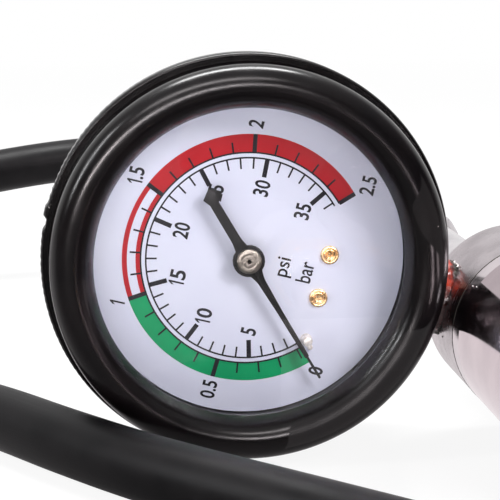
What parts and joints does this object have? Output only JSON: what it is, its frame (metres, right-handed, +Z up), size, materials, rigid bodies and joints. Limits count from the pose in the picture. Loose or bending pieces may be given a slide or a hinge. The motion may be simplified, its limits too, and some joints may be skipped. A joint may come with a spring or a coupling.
{
  "type": "radiator pressure tester",
  "caption": "Hand pump with a booted dial gauge screwed into its head, T handle, release valve, check valve, hose and a quick coupler; lies on a table.",
  "frame": {"origin": "middle of the tester's own box (without the hose and what is on it), on the table that it lies on", "axes": "+X to the reader's right from the gauge to the pump, +Y away from the reader along the pump towards the hose, +Z up"},
  "size_m": [0.231, 0.4108, 0.0788],
  "materials": {
    "boot_rubber": "soft moulded black rubber, satin",
    "case_black": "black enamelled sheet steel",
    "lens_clear": "clear polished window",
    "dial_white": "white matt dial with printed scales",
    "brass": "machined brass",
    "pointer_black": "matt black paint",
    "bright_steel": "bright machined steel",
    "chrome": "polished chrome plate",
    "seal_rubber": "black seal rubber",
    "red_sealant": "cured orange-red thread sealant",
    "handle_plastic": "moulded black plastic, satin",
    "cap_plastic": "moulded black plastic, matt",
    "aluminium": "turned aluminium",
    "spring_steel": "drawn spring wire",
    "hose_rubber": "smooth black rubber hose",
    "button_red": "red moulded plastic"
  },
  "bodies": {
    "tester": {"rubber_boot": "boot_rubber", "gauge_case": "case_black", "blowout_plug": "seal_rubber", "case_screws": "bright_steel", "bezel_ring": "case_black", "gauge_lens": "lens_clear", "lens_gasket": "seal_rubber", "dial_plate": "dial_white", "dial_screws": "brass", "stop_pin": "bright_steel", "hairspring": "brass", "base_plate": "brass", "top_plate": "brass", "movement_pillars": "brass", "movement_screws": "bright_steel", "bourdon_tube": "brass", "tube_tip": "brass", "gauge_socket": "brass", "thread_sealant": "red_sealant", "pump_head": "chrome", "pump_barrel": "chrome", "barrel_seal": "seal_rubber", "barrel_cap": "cap_plastic", "rod_bush": "brass", "check_spring": "spring_steel", "valve_body": "chrome", "valve_spring": "spring_steel", "hose_nipple": "chrome", "head_ferrule": "chrome", "hose": "hose_rubber", "coupler_ferrule": "chrome", "coupler_body": "brass", "coupler_spring": "spring_steel", "coupler_balls": "bright_steel", "coupler_seal": "seal_rubber", "coupler_ring": "bright_steel"},
    "plunger": {"piston": "aluminium", "cup_seal": "seal_rubber"},
    "handle": {"piston_rod": "chrome", "cup_washer": "bright_steel", "piston_nut": "bright_steel", "t_handle": "handle_plastic", "handle_screw": "bright_steel", "handle_plug": "handle_plastic"},
    "pointer_arbor": {"pinion": "brass", "pointer": "pointer_black", "pointer_cap": "bright_steel"},
    "sector": {"sector_gear": "brass"},
    "movement_link": {"link": "brass"},
    "valve_ball": {"check_ball": "bright_steel"},
    "release_button": {"valve_button": "button_red", "valve_seal": "seal_rubber"},
    "sleeve": {"coupler_sleeve": "bright_steel"}
  },
  "joints": [
    {"name": "pump_stroke", "type": "slide", "parent": "tester", "child": "plunger", "axis": [0, -1, 0], "range_m": [0, 0.125]},
    {"name": "handle_turn", "type": "hinge", "parent": "plunger", "child": "handle", "pos_m": [0.01958, 0, 0.02494], "axis": [0, -1, 0], "continuous": true},
    {"name": "sector_turn", "type": "hinge", "parent": "tester", "child": "sector", "pos_m": [-0.02401, 0.0634, 0.03612], "axis": [0, -1, 0], "range_deg": [0, 27], "stiffness_Nm_per_rad": 0.02},
    {"name": "pointer_turn", "type": "hinge", "parent": "tester", "child": "pointer_arbor", "pos_m": [-0.0368, 0.0634, 0.0394], "axis": [0, 1, 0], "range_deg": [0, 270]},
    {"name": "link_turn", "type": "hinge", "parent": "sector", "child": "movement_link", "pos_m": [-0.02716, 0.0634, 0.0329], "axis": [0, -1, 0], "range_deg": [-35.7, 0]},
    {"name": "check_ball_lift", "type": "slide", "parent": "tester", "child": "valve_ball", "axis": [0, 1, 0], "range_m": [0, 0.0015], "stiffness_N_per_m": 50, "springref_m": -0.002, "deforming": ["check_spring"]},
    {"name": "release_press", "type": "slide", "parent": "tester", "child": "release_button", "axis": [-0.7146, 0, 0.6995], "range_m": [0, 0.0015], "stiffness_N_per_m": 400, "springref_m": -0.003, "deforming": ["valve_spring"]},
    {"name": "sleeve_slide", "type": "slide", "parent": "tester", "child": "sleeve", "axis": [0, 1, 0], "range_m": [0, 0.004], "stiffness_N_per_m": 800, "springref_m": -0.004, "deforming": ["coupler_spring"]}
  ],
  "couplings": [
    {"joint": "pointer_turn", "follows": "sector_turn", "ratio": 10},
    {"joint": "link_turn", "follows": "sector_turn", "ratio": -1.3186}
  ]
}
